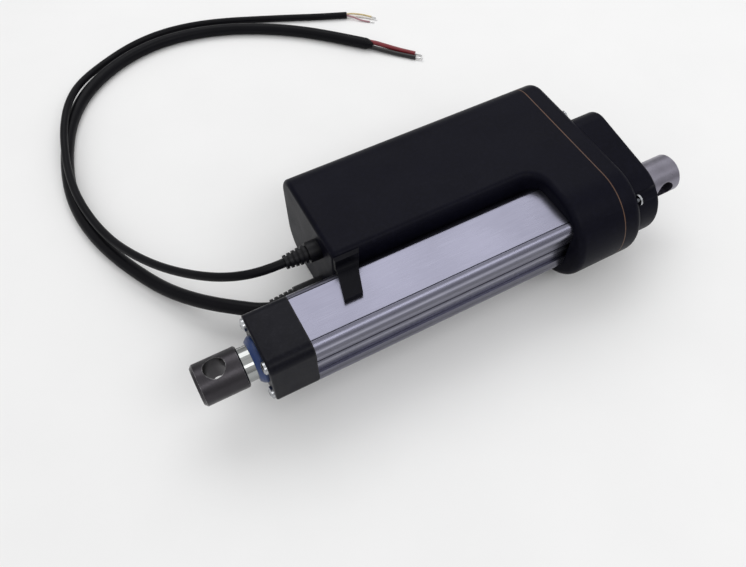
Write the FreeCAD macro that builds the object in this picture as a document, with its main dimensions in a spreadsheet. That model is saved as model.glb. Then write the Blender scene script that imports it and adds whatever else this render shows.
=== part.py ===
import FreeCAD, Part
import Sketcher
import math
import os

# A linear actuator: a motor beside a square aluminium tube drives a lead screw, which pushes a rod out.
# The origin is the centre of the rear mounting hole. +Z is up, the rod comes out towards -X and the
# motor stands on the +Y side of the tube. "Stations" are counted in mm back from the centre of the rod
# eye's hole, along +X, with the rod all the way in.

os.makedirs("parts", exist_ok=True)
doc = FreeCAD.newDocument("linear_actuator")
V = FreeCAD.Vector

SIZES = {
    # the whole
    "retracted_length": 296, "stroke": 100, "hole_diameter": 12.2, "eye_diameter": 24,
    "thread_lead": 3, "floor_drop": 39,
    # stations along the axis
    "cap_front": 23.5, "tube_front": 49.5, "cover_front": 80, "case_front": 214, "tube_rear": 222,
    "plate_front": 226, "plate_rear": 232, "seam": 246, "base_rear": 260, "boss_rear": 279,
    # rod
    "rod_diameter": 20, "rod_bore": 13.6, "rod_start": 14, "rod_rear": 190, "eye_end": 12,
    "eye_spigot": 14, "eye_chamfer": 1.6, "nut_front": 176, "nut_length": 34, "nut_diameter": 30,
    "nut_socket": 14, "nut_bore": 12.2, "guide_diameter": 31.4, "guide_length": 10,
    "key_width": 4, "key_height": 3.2, "key_length": 22,
    # square tube
    "tube_width": 40, "tube_corner": 6.5, "tube_bore": 32, "screw_spacing": 29, "screw_bore": 4.2,
    "groove_offset": 14.5, "groove_width": 0.8, "groove_depth": 0.6,
    "channel_height": 14, "channel_depth": 1.6, "slot_height": 3.6, "slot_depth": 2.2, "slot_rise": 2.6,
    "keyway_width": 4.6, "keyway_depth": 2.2,
    # front cap, guide and wiper
    "cap_edge": 1.2, "cap_bore": 24, "bush_length": 16, "wiper_diameter": 27.5, "wiper_proud": 4,
    "wiper_seat": 5, "rod_play": 0.06, "washer_thickness": 0.6,
    # housing
    "case_radius": 32, "case_drop": 2, "top_height": 30, "cover_near": 20.8, "cover_far": 93,
    "cover_top_round": 15.5, "cover_bottom_round": 22, "cover_near_round": 18, "wall": 3,
    "rim_round": 4, "crook_round": 11, "end_round": 3, "gasket_thickness": 0.6,
    "boss_drop": 2, "boss_radius": 25.5, "lobe_across": 40, "lobe_up": 17, "lobe_radius": 12,
    "socket_wall": 3, "socket_play": 0.1, "socket_depth": 8,
    # gears and screw
    "screw_diameter": 12, "screw_front": 72, "journal_diameter": 10,
    "first_module": 1, "motor_teeth": 12, "wheel_teeth": 34, "first_width": 7.5, "first_station": 237,
    "second_module": 1.25, "idler_teeth": 16, "screw_teeth": 38, "second_width": 8,
    "second_station": 247.5, "backlash": 0.24, "pressure_angle": 20, "motor_drop": 4,
    "idler_shaft_diameter": 6,
    # motor
    "motor_diameter": 57, "can_wall": 2, "can_front": 96, "can_rear": 218, "magnet_inner": 20.6,
    "core_radius": 20, "core_front": 124, "core_length": 72, "shaft_diameter": 8,
    # cables
    "signal_gland_across": 42, "signal_gland_up": 13.5, "signal_gland_length": 21,
    "power_gland_across": 40, "power_gland_down": 24, "power_gland_length": 34,
    "signal_diameter": 5.4, "power_diameter": 9,
}

sheet = doc.addObject("Spreadsheet::Sheet", "Sizes")
for row, (alias, value) in enumerate(SIZES.items(), start=1):
    sheet.set(f"A{row}", alias)
    sheet.set(f"B{row}", str(value))
    sheet.setAlias(f"B{row}", alias)
doc.recompute()


class Size:
    """A number together with the spreadsheet expression that it comes from."""

    def __init__(self, value, text):
        self.value = value
        self.text = text

    def __add__(self, other):
        other = as_size(other)
        return Size(self.value + other.value, f"({self.text} + {other.text})")

    def __sub__(self, other):
        other = as_size(other)
        return Size(self.value - other.value, f"({self.text} - {other.text})")

    def __mul__(self, other):
        other = as_size(other)
        return Size(self.value * other.value, f"({self.text} * {other.text})")

    def __truediv__(self, other):
        other = as_size(other)
        return Size(self.value / other.value, f"({self.text} / {other.text})")

    def __neg__(self):
        return Size(-self.value, f"(0 - {self.text})")

    def __radd__(self, other):
        return as_size(other) + self

    def __rsub__(self, other):
        return as_size(other) - self

    def __rmul__(self, other):
        return as_size(other) * self


def as_size(number):
    return number if isinstance(number, Size) else Size(number, f"({number})")


def size(alias):
    return Size(float(sheet.get(alias)), f"Sizes.{alias}")


def sizes(*aliases):
    return [size(alias) for alias in aliases]


ZERO = as_size(0)
retracted = size("retracted_length")
pieces = []


def bind(item, name, value):
    value = as_size(value)
    setattr(item, name, value.value)
    item.setExpression(name, value.text)


def place(item, station, across=ZERO, up=ZERO, turn=None):
    """Stand the item at a station along the axis, across the axis and up from it."""
    spot = [as_size(station) - retracted, as_size(across), as_size(up)]
    turn = turn or FreeCAD.Rotation()
    item.Placement = FreeCAD.Placement(V(*[part.value for part in spot]), turn)
    for letter, part in zip("xyz", spot):
        item.setExpression(f"Placement.Base.{letter}", part.text)
    return item


def keep(item, label):
    """Name a finished piece, which gets its own file."""
    item.Label = label
    pieces.append(item)
    return item


# ---- sketches -------------------------------------------------------------------------------------

def new_sketch(owner, role, offset=None):
    plane = next(item for item in owner.Origin.OriginFeatures if item.Role == role)
    sketch = owner.newObject("Sketcher::SketchObject", owner.Name + "_sketch")
    sketch.AttachmentSupport = [(plane, "")]
    sketch.MapMode = "FlatFace"
    if offset is not None:
        sketch.AttachmentOffset = FreeCAD.Placement(V(0, 0, offset.value), FreeCAD.Rotation())
        sketch.setExpression("AttachmentOffset.Base.z", offset.text)
    return sketch


def fix_point(sketch, geometry, corner, across, up):
    """Tie one sketch point to its two distances from the sketch's origin."""
    ties = [("DistanceX", across, -2), ("DistanceY", up, -1)]
    for kind, distance, axis in ties:
        if abs(distance.value) < 1e-9:
            sketch.addConstraint(Sketcher.Constraint("PointOnObject", geometry, corner, axis))
            continue
        number = sketch.addConstraint(
            Sketcher.Constraint(kind, -1, 1, geometry, corner, distance.value))
        sketch.setExpression(f"Constraints[{number}]", distance.text)


def draw_circle(sketch, across, up, radius):
    across, up, radius = as_size(across), as_size(up), as_size(radius)
    circle = Part.Circle(V(across.value, up.value, 0), V(0, 0, 1), radius.value)
    number = sketch.addGeometry(circle, False)
    fix_point(sketch, number, 3, across, up)
    tie = sketch.addConstraint(Sketcher.Constraint("Radius", number, radius.value))
    sketch.setExpression(f"Constraints[{tie}]", radius.text)


def arc_between(start, end, radius):
    """The short arc from start to end, bulging to the right of the way from start to end.

    A negative radius bulges to the left.
    """
    chord = end - start
    left = V(-chord.y, chord.x, 0).normalize()
    rise = math.sqrt(max(radius * radius - chord.Length ** 2 / 4, 0))
    side = 1 if radius > 0 else -1
    centre = (start + end) * 0.5 + left * rise * side
    middle = centre - left * abs(radius) * side
    return Part.Arc(start, middle, end)


def draw_outline(sketch, outline):
    """Draw a closed anticlockwise outline of points (across, up) or (across, up, radius).

    A third value makes the edge that arrives at the point an arc of that radius.
    """
    points = [tuple(as_size(part) for part in point) for point in outline]
    flat = [V(point[0].value, point[1].value, 0) for point in points]
    ends = {}
    for number, point in enumerate(points):
        start, end = flat[number - 1], flat[number]
        if len(point) == 3:
            edge = sketch.addGeometry(arc_between(start, end, point[2].value), False)
            tie = sketch.addConstraint(Sketcher.Constraint("Radius", edge, abs(point[2].value)))
            text = point[2].text if point[2].value > 0 else (-point[2]).text
            sketch.setExpression(f"Constraints[{tie}]", text)
        else:
            edge = sketch.addGeometry(Part.LineSegment(start, end), False)
        first_is_start = (sketch.getPoint(edge, 1) - start).Length < 1e-6
        ends[number] = (edge, 1 if first_is_start else 2, 2 if first_is_start else 1)
    for number, point in enumerate(points):
        edge, _, last = ends[number]
        following, first, _ = ends[(number + 1) % len(points)]
        sketch.addConstraint(Sketcher.Constraint("Coincident", edge, last, following, first))
        fix_point(sketch, edge, last, point[0], point[1])


def rounded_box(across, up, width, height, corner):
    """Outline of a box with its lower left corner at (across, up) and its corners rounded."""
    right, top = across + width, up + height
    return [
        (across + corner, up, corner), (right - corner, up),
        (right, up + corner, corner), (right, top - corner),
        (right - corner, top, corner), (across + corner, top),
        (across, top - corner, corner), (across, up + corner),
    ]


def square_box(across, up, width, height):
    right, top = across + width, up + height
    return [(across, up), (right, up), (right, top), (across, top)]


# ---- solids ---------------------------------------------------------------------------------------

ALONG_X = FreeCAD.Rotation(V(0, 1, 0), 90)


def new_body(name):
    return doc.addObject("PartDesign::Body", name)


def pad(owner, sketch, length):
    feature = owner.newObject("PartDesign::Pad", owner.Name + "_pad")
    feature.Profile = sketch
    bind(feature, "Length", length)
    doc.recompute()
    return feature


def pocket(owner, sketch, length):
    """Cut from the sketch towards +X, and make sure that something was cut."""
    before = owner.Shape.Volume
    feature = owner.newObject("PartDesign::Pocket", owner.Name + "_pocket")
    feature.Profile = sketch
    feature.Reversed = True
    bind(feature, "Length", length)
    doc.recompute()
    if owner.Shape.Volume > before - 0.01:
        raise ValueError(f"{owner.Name}: the pocket cuts nothing")
    return feature


def add_section(owner, start, outline, length, holes=()):
    """Pad an outline across the axis from start, towards +X."""
    sketch = new_sketch(owner, "YZ_Plane", as_size(start))
    draw_outline(sketch, outline)
    for hole in holes:
        draw_circle(sketch, *hole)
    return pad(owner, sketch, length)


def cut_section(owner, start, outline, length):
    sketch = new_sketch(owner, "YZ_Plane", as_size(start))
    draw_outline(sketch, outline)
    return pocket(owner, sketch, length)


def cut_circles(owner, start, circles, length):
    sketch = new_sketch(owner, "YZ_Plane", as_size(start))
    for circle in circles:
        draw_circle(sketch, *circle)
    return pocket(owner, sketch, length)


def soften(owner, radius, chosen, kind="Fillet"):
    """Round (or chamfer) the edges of a body's tip that the chosen test picks."""
    feature = owner.Tip
    names = [f"Edge{number}" for number, edge in enumerate(feature.Shape.Edges, start=1) if chosen(edge)]
    if not names:
        raise ValueError(f"{owner.Name}: no edges to soften")
    result = owner.newObject(f"PartDesign::{kind}", owner.Name + "_edges")
    result.Base = (feature, names)
    bind(result, "Radius" if kind == "Fillet" else "Size", radius)
    feature.Visibility = False
    doc.recompute()
    if "Invalid" in result.State or result.Shape.isNull() or not result.Shape.isValid():
        raise ValueError(f"{owner.Name}: the edges can't be softened")
    return result


def turned(name, outline):
    """A body turned about its own X axis from an outline of (along, radius) points."""
    owner = new_body(name)
    sketch = new_sketch(owner, "XY_Plane")
    draw_outline(sketch, outline)
    feature = owner.newObject("PartDesign::Revolution", name + "_turn")
    feature.Profile = sketch
    feature.ReferenceAxis = (sketch, ["H_Axis"])
    feature.Angle = 360
    return owner


def sleeve(name, length, inner, outer):
    """A plain tube or, with no inner radius, a plain bar, starting at its own origin."""
    return turned(name, square_box(ZERO, as_size(inner), as_size(length), as_size(outer) - inner))


def cylinder(name, station, across, up, radius, length, turn=ALONG_X):
    item = doc.addObject("Part::Cylinder", name)
    bind(item, "Radius", radius)
    bind(item, "Height", length)
    return place(item, station, across, up, turn)


def box(name, station, across, up, length, width, height):
    """A box with its lowest corner at the station, across and up."""
    item = doc.addObject("Part::Box", name)
    bind(item, "Length", length)
    bind(item, "Width", width)
    bind(item, "Height", height)
    return place(item, station, across, up)


def fuse(name, items):
    item = doc.addObject("Part::MultiFuse", name)
    item.Shapes = items
    return item


def without(name, base, tools):
    item = doc.addObject("Part::Cut", name)
    item.Base = base
    item.Tool = tools[0] if len(tools) == 1 else fuse(name + "_tools", tools)
    return item


def group(name, items):
    """Separate identical solids that share one file."""
    item = doc.addObject("Part::Compound", name)
    item.Links = items
    return item


def pan_screw(name, station, across, up, shank, shank_length, head, head_height, towards=1):
    """A pan head with a hexagon socket. Its shank runs towards +X, or towards -X if towards is -1."""
    shank, head, head_height = as_size(shank), as_size(head), as_size(head_height)
    owner = turned(name, [
        (-head_height, ZERO), (-head_height + head * 0.12, head * 0.34),
        (-head_height * 0.45, head * 0.5), (ZERO, head * 0.5), (ZERO, shank / 2),
        (as_size(shank_length), shank / 2), (as_size(shank_length), ZERO),
    ])
    doc.recompute()
    socket = head * 0.25
    corners = [(socket * math.cos(math.radians(60 * k)), socket * math.sin(math.radians(60 * k)))
               for k in range(6)]
    cut_section(owner, -head_height, corners, head_height * 0.6)
    turn = FreeCAD.Rotation() if towards > 0 else FreeCAD.Rotation(V(0, 0, 1), 180)
    return place(owner, station, across, up, turn)


def at_station(edge, along):
    """True when the whole edge lies at one place along X."""
    room = edge.BoundBox
    return abs(room.XMin - along) < 0.01 and abs(room.XMax - along) < 0.01


# ---- the square tube ------------------------------------------------------------------------------

def tube_outline(play=ZERO):
    """The tube's outer section, grown by the play all round."""
    width = size("tube_width") + play * 2
    return rounded_box(-(width / 2), -(width / 2), width, width, size("tube_corner") + play)


def corner_places(spacing):
    half = as_size(spacing) / 2
    return [(across, up) for across in (-half, half) for up in (-half, half)]


def make_outer_tube():
    start, end, width = sizes("tube_front", "tube_rear", "tube_width")
    length = end - start
    half = width / 2
    owner = new_body("outer_tube")
    bores = [(across, up, size("screw_bore") / 2) for across, up in corner_places(size("screw_spacing"))]
    add_section(owner, ZERO, tube_outline(), length, [(ZERO, ZERO, size("tube_bore") / 2)] + bores)
    keyway, deep = sizes("keyway_width", "keyway_depth")
    cut_section(owner, ZERO,
                square_box(-(keyway / 2), -(size("tube_bore") / 2) - deep, keyway, deep + 4), length)
    groove, shallow, offset = sizes("groove_width", "groove_depth", "groove_offset")
    for side in (-1, 1):
        for level in (half - shallow, -half):
            across = offset * side - groove / 2
            cut_section(owner, ZERO, square_box(across, level, groove, shallow), length)
    tall, sunk, slot, deeper, rise = sizes(
        "channel_height", "channel_depth", "slot_height", "slot_depth", "slot_rise")
    for side in (-1, 1):
        near = -half if side < 0 else half - sunk
        cut_section(owner, ZERO, square_box(near, -(tall / 2), sunk, tall), length)
        near = -half if side < 0 else half - deeper
        cut_section(owner, ZERO, square_box(near, rise, deeper, slot), length)
    return keep(place(owner, start), "outer_tube")


# ---- front cap and what it holds ------------------------------------------------------------------

def make_front_cap():
    start, end = sizes("cap_front", "tube_front")
    seam = size("washer_thickness")
    length = end - start - seam
    owner = new_body("front_cap")
    add_section(owner, ZERO, tube_outline(), length)
    soften(owner, size("cap_edge"), lambda edge: at_station(edge, 0))
    seat = size("wiper_diameter") / 2
    cut_circles(owner, ZERO, [(ZERO, ZERO, size("rod_diameter") / 2 + 0.3)], length)
    cut_circles(owner, ZERO, [(ZERO, ZERO, seat)], size("wiper_seat"))
    bush = size("bush_length")
    cut_circles(owner, length - bush, [(ZERO, ZERO, size("cap_bore") / 2)], bush)
    holes = [(across, up, as_size(2.2)) for across, up in corner_places(size("screw_spacing"))]
    cut_circles(owner, ZERO, holes, length)
    return keep(place(owner, start), "front_cap")


def make_cap_gasket():
    seam, start = sizes("washer_thickness", "tube_front")
    owner = new_body("front_cap_gasket")
    holes = [(across, up, as_size(2.2)) for across, up in corner_places(size("screw_spacing"))]
    width = size("tube_width") - 0.8
    outline = rounded_box(-(width / 2), -(width / 2), width, width, size("tube_corner") - 0.4)
    add_section(owner, ZERO, outline, seam, [(ZERO, ZERO, size("tube_bore") / 2)] + holes)
    return keep(place(owner, start - seam), "front_cap_gasket")


def make_cap_screws():
    start = size("cap_front")
    screws = [pan_screw(f"cap_screw_{number}", start, across, up, 4, 38, 7.4, 2.8)
              for number, (across, up) in enumerate(corner_places(size("screw_spacing")))]
    return keep(group("front_cap_screws", screws), "front_cap_screws")


def make_wiper_seal():
    """A wiper with a bevelled lip that stands proud of the cap and touches nothing but the cap."""
    outer = size("wiper_diameter") / 2
    inner = size("rod_diameter") / 2 + size("rod_play")
    proud, seat = sizes("wiper_proud", "wiper_seat")
    owner = turned("wiper_seal", [
        (ZERO, inner), (proud + seat, inner), (proud + seat, outer), (proud, outer),
        (proud - 1.2, outer), (as_size(1.4), outer - 0.8), (ZERO, inner + 1.6),
    ])
    return keep(place(owner, size("cap_front") - proud), "wiper_seal")


def make_rod_bush():
    seam, end, length = sizes("washer_thickness", "tube_front", "bush_length")
    inner = size("rod_diameter") / 2 + size("rod_play")
    owner = sleeve("rod_bush", length, inner, size("cap_bore") / 2)
    return keep(place(owner, end - seam - length), "rod_bush")


# ---- the rod --------------------------------------------------------------------------------------

def make_rod_eye():
    end, shoulder, chamfer, spigot = sizes("eye_end", "rod_start", "eye_chamfer", "eye_spigot")
    outer = size("eye_diameter") / 2
    inner = size("rod_bore") / 2
    length = end + shoulder
    blank = turned("rod_eye_blank", [
        (ZERO, ZERO), (length + spigot, ZERO), (length + spigot, inner), (length, inner),
        (length, outer - 0.8), (length - 0.8, outer), (chamfer, outer), (ZERO, outer - chamfer),
    ])
    place(blank, -end)
    hole = cylinder("rod_eye_hole", ZERO, ZERO, -outer - 1, size("hole_diameter") / 2,
                    size("eye_diameter") + 2, FreeCAD.Rotation())
    return keep(without("rod_eye", blank, [hole]), "rod_eye")


def make_piston_rod():
    start, end = sizes("rod_start", "rod_rear")
    owner = sleeve("piston_rod", end - start, size("rod_bore") / 2, size("rod_diameter") / 2)
    return keep(place(owner, start), "piston_rod")


def make_drive_nut():
    length, socket = sizes("nut_length", "nut_socket")
    outer = size("nut_diameter") / 2
    owner = turned("drive_nut_blank", [
        (ZERO, size("rod_diameter") / 2), (socket, size("rod_diameter") / 2),
        (socket, size("nut_bore") / 2), (length, size("nut_bore") / 2),
        (length, outer - 1), (length - 1, outer), (as_size(1), outer), (ZERO, outer - 1),
    ])
    place(owner, size("nut_front"))
    key = box("nut_keyseat", size("nut_front") + 4, -(size("key_width") / 2), -outer - 1,
              size("key_length"), size("key_width"), size("key_height") / 2 + 1)
    return keep(without("drive_nut", owner, [key]), "drive_nut")


def make_nut_key():
    outer = size("nut_diameter") / 2
    key = box("nut_key", size("nut_front") + 4, -(size("key_width") / 2),
              -outer - size("key_height") / 2, size("key_length"), size("key_width"), size("key_height"))
    return keep(key, "nut_key")


def make_guide_ring():
    length = size("guide_length")
    owner = sleeve("guide_ring_blank", length, size("nut_diameter") / 2, size("guide_diameter") / 2)
    start = size("nut_front") + size("nut_length") - length - 1
    place(owner, start)
    gap = box("guide_ring_gap", start - 1, -(size("key_width") / 2) - 0.3, -(size("tube_bore") / 2),
              length + 2, size("key_width") + 0.6, as_size(6))
    return keep(without("nut_guide_ring", owner, [gap]), "nut_guide_ring")


# ---- housing --------------------------------------------------------------------------------------

def case_outline(inset=ZERO):
    """Section of the gear case: round about the tube, flat on top, and as wide as the motor cover."""
    radius = size("case_radius") - inset
    middle = -size("case_drop")
    top, bottom = size("top_height") - inset, -size("floor_drop") + inset
    far = size("cover_far") - inset
    upper, lower = size("cover_top_round") - inset, size("cover_bottom_round") - inset
    return [
        (ZERO, middle - radius, radius), (size("cover_near") * 2, bottom), (far - lower, bottom),
        (far, bottom + lower, lower), (far, top - upper), (far - upper, top, upper), (ZERO, top),
        (-radius, middle, radius),
    ]


def cover_outline(inset=ZERO):
    """Section of the motor cover. Its corner beside the tube is square, to be softened later."""
    near, far = size("cover_near") + inset, size("cover_far") - inset
    top, bottom = size("top_height") - inset, -size("floor_drop") + inset
    upper, lower = size("cover_top_round") - inset, size("cover_bottom_round") - inset
    inner = size("cover_near_round") - inset
    return [
        (near + inner, bottom, inner), (far - lower, bottom), (far, bottom + lower, lower),
        (far, top - upper), (far - upper, top, upper), (near, top), (near, bottom + inner),
    ]


PLATE_SCREWS = [(26.5, 21), (26.5, -27), (87.2, 14), (86.8, -20.5)]
COVER_SCREWS = [(55, 23.5), (-19.5, 18.5), (-19.5, -19.5), (86.6, 12), (83.5, -28.5), (33, -33)]
SIGNAL_GLAND_HOLE, POWER_GLAND_HOLE = 4.8, 6.2


def gland_places():
    return [
        (size("signal_gland_across"), size("signal_gland_up"), as_size(SIGNAL_GLAND_HOLE)),
        (size("power_gland_across"), -size("power_gland_down"), as_size(POWER_GLAND_HOLE)),
    ]


PLATE_SHANK, COVER_SHANK, POST_RADIUS = 1.3, 1.6, 3.8


def add_posts(owner, end, places, length, bore):
    """Bored screw posts that end at a station and grow out of the wall beside them."""
    for across, up in places:
        sketch = new_sketch(owner, "YZ_Plane", end - length)
        draw_circle(sketch, across, up, POST_RADIUS)
        pad(owner, sketch, length)
    cut_circles(owner, end - length + 1, [(*spot, as_size(bore)) for spot in places], length)


def make_gear_housing():
    front, case, seam, wall = sizes("cover_front", "case_front", "seam", "wall")
    depth = seam - case
    owner = new_body("housing_shell")
    add_section(owner, ZERO, cover_outline(), seam - front)
    add_section(owner, case - front, case_outline(), depth)
    along_cover = (case - front).value
    near, top = size("cover_near").value, size("top_height").value
    soften(owner, size("crook_round"), lambda edge: (
        at_station(edge, along_cover) and abs(edge.BoundBox.YMin - near) < 0.01
        and abs(edge.BoundBox.YMax - near) < 0.01))
    soften(owner, size("rim_round"), lambda edge: (
        at_station(edge, along_cover) or (
            edge.BoundBox.ZMin > top - 0.01 and edge.BoundBox.YMax < near + 0.5
            and edge.BoundBox.XMax < along_cover + 0.5 and not at_station(edge, 0))))
    soften(owner, size("end_round"), lambda edge: at_station(edge, 0))
    cut_section(owner, wall, cover_outline(wall), seam - front - wall)
    cut_section(owner, case - front + wall, case_outline(wall), depth - wall)
    play, sleeve_wall = sizes("socket_play", "socket_wall")
    crook = size("crook_round") + 1
    cut_section(owner, case - front - crook, tube_outline(play), crook + wall + 1)
    add_section(owner, case - front + wall - 0.5, tube_outline(sleeve_wall),
                size("socket_depth") - wall + 0.5)
    cut_section(owner, case - front - 1, tube_outline(play), size("socket_depth") + 2)
    add_posts(owner, size("plate_front") - front, PLATE_SCREWS, 24, PLATE_SHANK)
    add_posts(owner, seam - front, COVER_SCREWS, 11, COVER_SHANK)
    cut_circles(owner, -1, gland_places(), wall + 2)
    return keep(place(owner, front), "gear_housing")


def make_gasket():
    seam, thickness, wall = sizes("seam", "gasket_thickness", "wall")
    owner = new_body("gasket_ring")
    add_section(owner, ZERO, case_outline(), thickness)
    cut_section(owner, ZERO, case_outline(wall), thickness)
    cut_circles(owner, -1, [(*spot, as_size(COVER_SHANK + 0.1)) for spot in COVER_SCREWS],
                thickness + 2)
    return keep(place(owner, seam), "housing_gasket")


def boss_outline():
    """Hull of a large circle round the screw and a small one above the idler."""
    big, small = size("boss_radius"), size("lobe_radius")
    low = -size("boss_drop")
    across, up = size("lobe_across"), size("lobe_up") - low
    reach = math.hypot(across.value, up.value)
    lean = math.atan2(up.value, across.value)
    spread = math.acos((big.value - small.value) / reach)
    high, under = lean + spread, lean - spread

    def rim(across_of, up_of, radius, angle):
        return (across_of + radius * math.cos(angle), up_of + radius * math.sin(angle))

    return [
        rim(across, up + low, small, under),
        rim(across, up + low, small, (high + under) / 2) + (small,),
        rim(across, up + low, small, high) + (small,),
        rim(ZERO, low, big, high),
        (-big, low, big),
        (ZERO, low - big, big),
        rim(ZERO, low, big, under) + (big,),
    ]


def make_rear_cover():
    seam, base, end, wall = sizes("seam", "base_rear", "boss_rear", "wall")
    start = seam + size("gasket_thickness")
    owner = new_body("rear_shell")
    add_section(owner, ZERO, case_outline(), base - start)
    soften(owner, as_size(5), lambda edge: at_station(edge, (base - start).value))
    add_section(owner, base - start - 2, boss_outline(), end - base + 2)
    soften(owner, as_size(3), lambda edge: at_station(edge, (end - start).value))
    cut_section(owner, ZERO, case_outline(wall), base - start - wall)
    recesses = [(as_size(across), as_size(up), as_size(4.8)) for across, up in COVER_SCREWS]
    cut_circles(owner, base - start, recesses, end - base + 1)
    holes = [(across, up, as_size(COVER_SHANK + 0.1)) for across, up, _ in recesses]
    cut_circles(owner, -1, holes, base - start + 2)
    bearing = size("journal_diameter") / 2 + 3
    cut_circles(owner, base - start - wall, [(ZERO, ZERO, bearing)], as_size(8))
    cut_circles(owner, size("boss_rear") - start - 11, [(ZERO, ZERO, as_size(9))], as_size(12))
    idler = IDLER_AXIS
    cut_circles(owner, base - start - wall, [(*idler, size("idler_shaft_diameter") / 2)], as_size(2))
    lobe = [(size("lobe_across"), size("lobe_up"), size("lobe_radius") - 4)]
    cut_circles(owner, base - start - wall, lobe, end - base - 2)
    return keep(place(owner, start), "rear_cover")


def make_cover_screws():
    """The heads stand on the base of the rear cover, and the shanks run forward into the housing."""
    screws = [pan_screw(f"cover_screw_{number}", size("base_rear"), across, up,
                        COVER_SHANK * 2, 21, 7.2, 2.6, -1)
              for number, (across, up) in enumerate(COVER_SCREWS)]
    return keep(group("rear_cover_screws", screws), "rear_cover_screws")


def make_rear_eye():
    start, end = size("boss_rear"), retracted + size("eye_end") + 0.5
    outer, shank = size("eye_diameter") / 2, as_size(9)
    length = end - start
    chamfer = size("eye_chamfer")
    blank = turned("rear_eye_blank", [
        (as_size(-10), ZERO), (length, ZERO), (length, outer - chamfer), (length - chamfer, outer),
        (as_size(0.6), outer), (ZERO, outer - 0.6), (ZERO, shank), (as_size(-10), shank),
    ])
    place(blank, start)
    hole = cylinder("rear_eye_hole", retracted, -outer - 1, ZERO, size("hole_diameter") / 2,
                    size("eye_diameter") + 2, FreeCAD.Rotation(V(1, 0, 0), -90))
    return keep(without("rear_eye", blank, [hole]), "rear_eye")


def make_cover_clip():
    """A tapered strap that runs down the side of the motor cover and over the top of the tube."""
    near, top, half = size("cover_near"), size("top_height"), size("tube_width") / 2
    thick, reach = as_size(3), as_size(-2)
    lift = as_size(0.02)
    owner = new_body("clip_body")
    outline = [
        (reach, half + lift), (near - 0.02, half + lift), (near - 0.02, top - 0.4),
        (near - thick, top - 0.4), (near - thick, half + thick + 3),
        (near - thick - 3, half + thick, as_size(-3)), (reach, half + thick),
    ]
    add_section(owner, ZERO, outline, as_size(30))
    place(owner, size("cover_front") - 8)
    blade = new_body("clip_outline")
    sketch = new_sketch(blade, "XY_Plane")
    draw_outline(sketch, [
        (as_size(3), as_size(-3)), (as_size(14), as_size(-3)), (as_size(19.5), as_size(13)),
        (as_size(25.5), as_size(24)), (as_size(8.4), as_size(24)), (as_size(7.5), as_size(14)),
    ])
    pad(blade, sketch, as_size(20))
    place(blade, size("cover_front") - 8, ZERO, half - 2)
    both = doc.addObject("Part::MultiCommon", "cover_clip")
    both.Shapes = [owner, blade]
    return keep(both, "cover_clip")


def make_gland(name, across, up, length, cable, barrel, barrel_length, hole):
    """A moulded strain relief: a barrel against the cover, then a ribbed taper down to the cable."""
    wall, ribs = size("wall"), 5
    barrel, barrel_length = as_size(barrel), as_size(barrel_length)
    thin, hole = as_size(cable) / 2, as_size(hole - 0.1)
    neck = length - barrel_length
    pitch = neck / ribs
    outline = [(ZERO, ZERO), (length + wall + 1, ZERO), (length + wall + 1, hole), (length, hole),
               (length, barrel), (neck, barrel), (neck, barrel - 1.8)]
    for rib in reversed(range(ribs)):
        back = pitch * (rib + 0.6)
        crest = thin + 1.5 + (barrel - thin - 1.9) * (rib / ribs)
        outline += [(back, crest - 1), (back, crest), (back - pitch * 0.55, crest),
                    (back - pitch * 0.55, crest - 1)]
    outline += [(ZERO, thin + 0.4)]
    owner = turned(name, outline)
    return keep(place(owner, size("cover_front") - length, across, up), name)


# ---- gears and lead screw -------------------------------------------------------------------------

def stage_distance(module, first, second):
    """Centre distance of two meshing gears."""
    return (size(module) * (size(first) + size(second)) / 2).value


FIRST_STAGE = stage_distance("first_module", "motor_teeth", "wheel_teeth")
SECOND_STAGE = stage_distance("second_module", "idler_teeth", "screw_teeth")
TRAIN_LENGTH = FIRST_STAGE + SECOND_STAGE
# The axes of motor, idler and screw lie in one plane, which slopes down by the motor's drop.
MOTOR_AXIS = (math.sqrt(TRAIN_LENGTH ** 2 - size("motor_drop").value ** 2), -size("motor_drop").value)
IDLER_AXIS = tuple(part * SECOND_STAGE / TRAIN_LENGTH for part in MOTOR_AXIS)
TRAIN_ANGLE = math.atan2(MOTOR_AXIS[1], MOTOR_AXIS[0])


def roll_angle(base, radius):
    """How far the involute of the base circle has unrolled where it reaches the radius."""
    return math.sqrt(max((radius / base) ** 2 - 1, 0))


def gear_wire(module, teeth, tooth_angle):
    """Outline of an involute gear, with one tooth centred on the given angle."""
    pressure = math.radians(size("pressure_angle").value)
    pitch = module * teeth / 2
    base = pitch * math.cos(pressure)
    tip, root = pitch + 0.92 * module, pitch - 1.2 * module
    half_tooth = math.pi / (2 * teeth) - size("backlash").value / (4 * pitch)
    half_at_base = half_tooth + math.tan(pressure) - pressure
    steps = 5
    first, last = roll_angle(base, max(root, base)), roll_angle(base, tip)
    flank = []
    for step in range(steps + 1):
        roll = first + (last - first) * step / steps
        flank.append((base * math.hypot(1, roll), half_at_base - (roll - math.atan(roll))))
    if root < base:
        flank.insert(0, (root, flank[0][1]))
    tooth = [(radius, -angle) for radius, angle in flank] + flank[::-1]
    points = []
    for number in range(teeth):
        centre = tooth_angle + 2 * math.pi * number / teeth
        points += [V(0, radius * math.cos(centre + angle), radius * math.sin(centre + angle))
                   for radius, angle in tooth]
    return Part.makePolygon(points + points[:1])


def make_gear(name, module, teeth, width, station, axis, bore, tooth_angle):
    """A spur gear on a shaft along X."""
    module, teeth, width = size(module).value, round(size(teeth).value), size(width).value
    solid = Part.Face(gear_wire(module, teeth, tooth_angle)).extrude(V(width, 0, 0))
    hole = Part.makeCylinder(bore, width + 2, V(-1, 0, 0), V(1, 0, 0))
    item = doc.addObject("Part::Feature", name)
    item.Shape = solid.cut(hole)
    return keep(place(item, size(station), *axis), name)


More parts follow.
